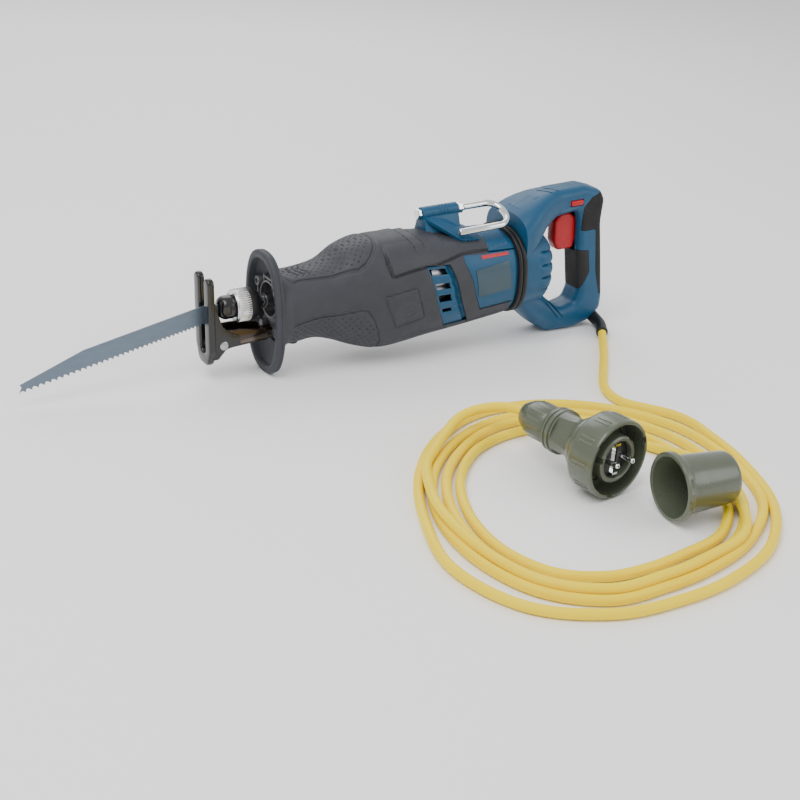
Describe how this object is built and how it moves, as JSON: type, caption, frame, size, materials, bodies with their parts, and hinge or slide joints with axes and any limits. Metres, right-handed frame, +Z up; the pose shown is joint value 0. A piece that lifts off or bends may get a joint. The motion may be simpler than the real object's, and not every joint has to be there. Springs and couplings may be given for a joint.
{
  "type": "reciprocating saw",
  "caption": "Corded D-handle reciprocating saw with pivoting shoe, blade chuck, rafter hook and wobble drive, and a coiled yellow lead ending in a capped watertight plug.",
  "frame": {"origin": "centre of the saw's own bounding box in plan, at the surface it stands on (the lead, coil, plug and cap lie beside it)", "axes": "+X from the blade's tip to the handle, along the floor; +Z up; -Y the side the coiled lead lies on. The plunger's axis is pitched 3 degrees, rear end up"},
  "size_m": [0.651, 0.5698, 0.1613],
  "materials": {
    "blade_steel": "ground, blued grey",
    "bright_steel": "polished",
    "plain_steel": "machined",
    "black_steel": "gloss black",
    "brown_steel": "gloss dark brown",
    "cast_aluminium": "as cast",
    "grey_rubber": "moulded, matt",
    "black_rubber": "moulded, matt",
    "blue_plastic": "satin, fine grain",
    "red_plastic": "gloss",
    "copper": "bare copper",
    "brass": "plain",
    "dark_plastic": "satin",
    "yellow_cord": "satin cable sheath",
    "olive_plastic": "semi-gloss"
  },
  "bodies": {
    "saw": {"armature_bearing_front": "plain_steel", "armature_bearing_rear": "plain_steel", "brush_left": "brass", "brush_right": "brass", "bumper_ring": "black_rubber", "cord_clamp": "dark_plastic", "cord_coil": "yellow_cord", "cord_lead": "yellow_cord", "cord_tail": "yellow_cord", "earth_contact": "bright_steel", "front_bush": "brass", "gear_case": "cast_aluminium", "grip_front_pad": "black_rubber", "grip_rear_pad": "black_rubber", "handle_left": "blue_plastic", "handle_right": "blue_plastic", "handle_screw_1": "plain_steel", "handle_screw_2": "plain_steel", "hook_base": "blue_plastic", "jackshaft_bearing_front": "plain_steel", "jackshaft_bearing_rear": "plain_steel", "motor_housing": "blue_plastic", "nose_boot": "grey_rubber", "plug_body": "olive_plastic", "plug_cap": "olive_plastic", "plug_gland_nut": "olive_plastic", "plug_insert": "olive_plastic", "plug_pin_left": "bright_steel", "plug_pin_right": "bright_steel", "plunger_seal": "black_rubber", "rear_bush": "brass", "rear_housing": "blue_plastic", "stator": "plain_steel", "strain_relief": "black_rubber", "switch_module": "dark_plastic", "vent_insert_left": "blue_plastic", "vent_insert_right": "blue_plastic"},
    "plunger": {"plunger": "bright_steel", "chuck_body": "black_steel", "chuck_rear_ring": "black_steel", "blade": "blade_steel"},
    "chuck_sleeve": {"chuck_sleeve": "bright_steel"},
    "wobble": {"wobble_arm": "plain_steel"},
    "jackshaft": {"jackshaft": "plain_steel", "drive_gear": "plain_steel"},
    "armature": {"armature_shaft": "plain_steel", "armature_core": "copper", "commutator": "copper", "fan": "dark_plastic"},
    "shoe_rail": {"shoe_bracket": "brown_steel", "shoe_rivet": "plain_steel"},
    "shoe_plate": {"shoe_plate": "black_steel"},
    "shoe_release": {"shoe_release": "black_rubber"},
    "trigger": {"trigger": "red_plastic"},
    "lock_button": {"lock_button": "red_plastic"},
    "speed_dial": {"speed_dial": "dark_plastic"},
    "hook": {"rafter_hook": "bright_steel", "hook_pin": "bright_steel", "hook_nut": "bright_steel"},
    "plug_ring": {"plug_ring": "olive_plastic"}
  },
  "joints": [
    {"name": "plunger_stroke", "type": "slide", "parent": "saw", "child": "plunger", "axis": [0.9986, 0, 0.0523], "range_m": [-0.008, 0.02]},
    {"name": "sleeve_turn", "type": "hinge", "parent": "plunger", "child": "chuck_sleeve", "pos_m": [-0.10865, 0, 0.07321], "axis": [0.9986, 0, 0.0523], "range_deg": [0, 35], "stiffness_Nm_per_rad": 0.15, "springref_deg": -17.19},
    {"name": "wobble_swing", "type": "hinge", "parent": "saw", "child": "wobble", "pos_m": [0.02494, 0, 0.04617], "axis": [0, 1, 0], "range_deg": [-14, 34.5]},
    {"name": "jackshaft_spin", "type": "hinge", "parent": "saw", "child": "jackshaft", "pos_m": [0.02395, 0, 0.04611], "axis": [0.9986, 0, 0.0523], "continuous": true},
    {"name": "armature_spin", "type": "hinge", "parent": "saw", "child": "armature", "pos_m": [0.11229, 0, 0.08008], "axis": [0.9986, 0, 0.0523], "continuous": true},
    {"name": "shoe_reach", "type": "slide", "parent": "saw", "child": "shoe_rail", "axis": [-0.9986, 0, -0.0523], "range_m": [0, 0.025]},
    {"name": "shoe_tilt", "type": "hinge", "parent": "shoe_rail", "child": "shoe_plate", "pos_m": [-0.1299, 0, 0.03905], "axis": [0, 1, 0], "range_deg": [-12, 2.5]},
    {"name": "release_press", "type": "slide", "parent": "saw", "child": "shoe_release", "axis": [-0.0523, 0, 0.9986], "range_m": [0, 0.0025], "stiffness_N_per_m": 800, "springref_m": -0.001},
    {"name": "trigger_pull", "type": "hinge", "parent": "saw", "child": "trigger", "pos_m": [0.28103, 0, 0.12768], "axis": [0, -1, 0], "range_deg": [0, 9], "stiffness_Nm_per_rad": 1.2, "springref_deg": -8.59},
    {"name": "lock_press", "type": "slide", "parent": "saw", "child": "lock_button", "axis": [0, 1, 0], "range_m": [0, 0.003], "stiffness_N_per_m": 500, "springref_m": -0.001},
    {"name": "dial_turn", "type": "hinge", "parent": "saw", "child": "speed_dial", "pos_m": [0.25307, 0.015, 0.14524], "axis": [0, 1, 0], "range_deg": [0, 270]},
    {"name": "hook_swing", "type": "hinge", "parent": "saw", "child": "hook", "pos_m": [0.1489, 0.008, 0.14579], "axis": [-0.9986, 0, -0.0523], "range_deg": [0, 165]},
    {"name": "plug_ring_turn", "type": "hinge", "parent": "saw", "child": "plug_ring", "pos_m": [0.0804, -0.359, 0.0364], "axis": [0.1701, -0.9854, 0], "range_deg": [-30, 30]}
  ],
  "couplings": [
    {"joint": "wobble_swing", "follows": "plunger_stroke", "rad_per_m": 29.795},
    {"joint": "armature_spin", "follows": "jackshaft_spin", "ratio": -4.8}
  ]
}
